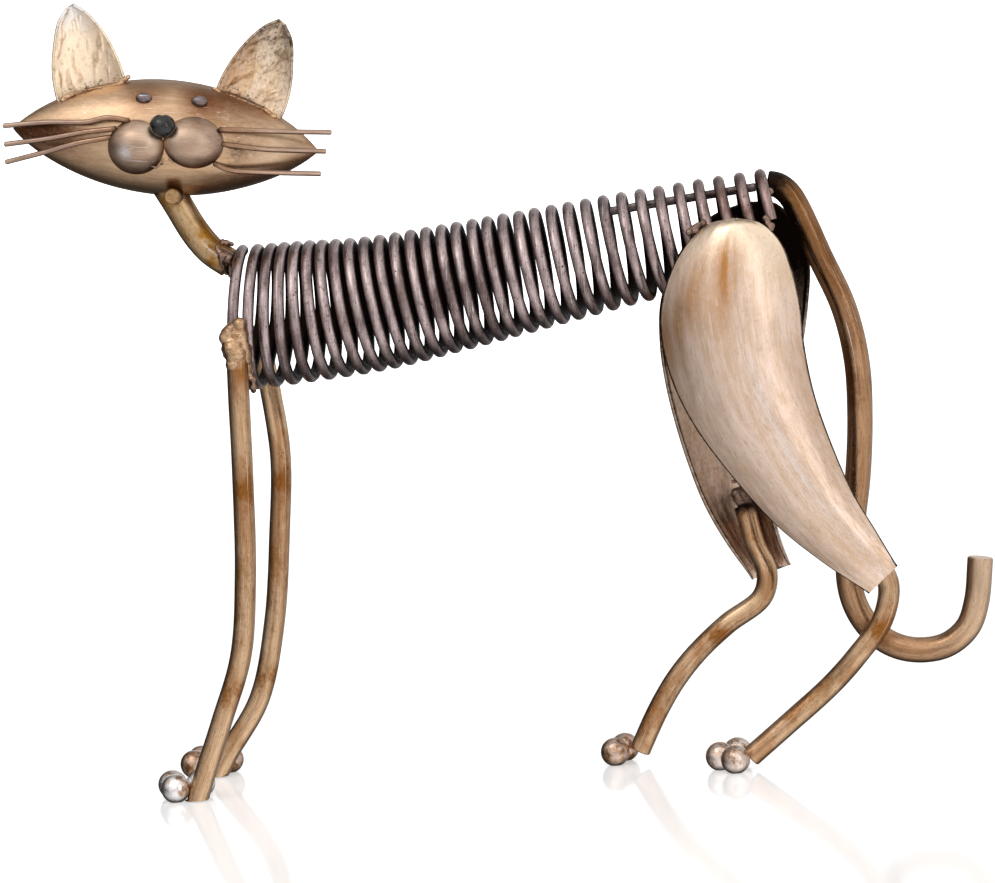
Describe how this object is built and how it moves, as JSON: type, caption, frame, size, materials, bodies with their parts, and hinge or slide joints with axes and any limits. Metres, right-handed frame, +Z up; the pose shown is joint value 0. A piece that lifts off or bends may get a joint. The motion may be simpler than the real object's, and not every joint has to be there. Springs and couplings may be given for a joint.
{
  "type": "metal cat sculpture",
  "caption": "Standing cat welded from steel rod, ball toes, formed sheet haunches and ears, and a close-wound spring as its trunk; a decorative figure for a shelf.",
  "frame": {"origin": "on the floor under the middle of the bounding box", "axes": "+X from the head to the tail, the nearer side in the picture is -Y, +Z up"},
  "size_m": [0.2872, 0.0664, 0.2397],
  "materials": {
    "head": "champagne-bronze satin steel, browner heat tint along the upper rim and round the eyes",
    "cheek": "satin champagne steel domes with one silvery patch",
    "eye": "dark blue-grey weld beads with a brown halo",
    "nose": "gloss black",
    "ear": "grooved pale gold steel, burnt at the welded base",
    "whisker": "drawn steel wire",
    "spring": "dark brown-grey oiled spring wire with pinkish-grey highlights",
    "neck": "blotchy ochre heat patina",
    "tail": "brown lacquered steel rod",
    "leg": "mottled gold-brown steel rod",
    "toe": "polished steel balls, browned on the far feet",
    "haunch": "champagne beige brushed sheet with tan blotches, thin dark edge"
  },
  "bodies": {
    "root": {"head": "head", "cheek_fore": "cheek", "cheek_aft": "cheek", "eye_fore": "eye", "eye_aft": "eye", "nose": "nose", "ear_fore": "ear", "ear_aft": "ear", "whisker_fore_1": "whisker", "whisker_fore_2": "whisker", "whisker_fore_3": "whisker", "whisker_aft_1": "whisker", "whisker_aft_2": "whisker", "whisker_aft_3": "whisker", "body_spring": "spring", "neck": "neck", "chin_stub": "neck", "spine_rod": "spring", "tail": "tail", "leg_front_near": "leg", "toe_front_near_1": "toe", "toe_front_near_2": "toe", "toe_front_near_3": "toe", "leg_front_far": "leg", "toe_front_far_1": "toe", "toe_front_far_2": "toe", "toe_front_far_3": "toe", "leg_hind_near": "leg", "toe_hind_near_1": "toe", "toe_hind_near_2": "toe", "toe_hind_near_3": "toe", "leg_hind_far": "leg", "toe_hind_far_1": "toe", "toe_hind_far_2": "toe", "haunch_near": "haunch", "haunch_far": "haunch"}
  },
  "joints": []
}
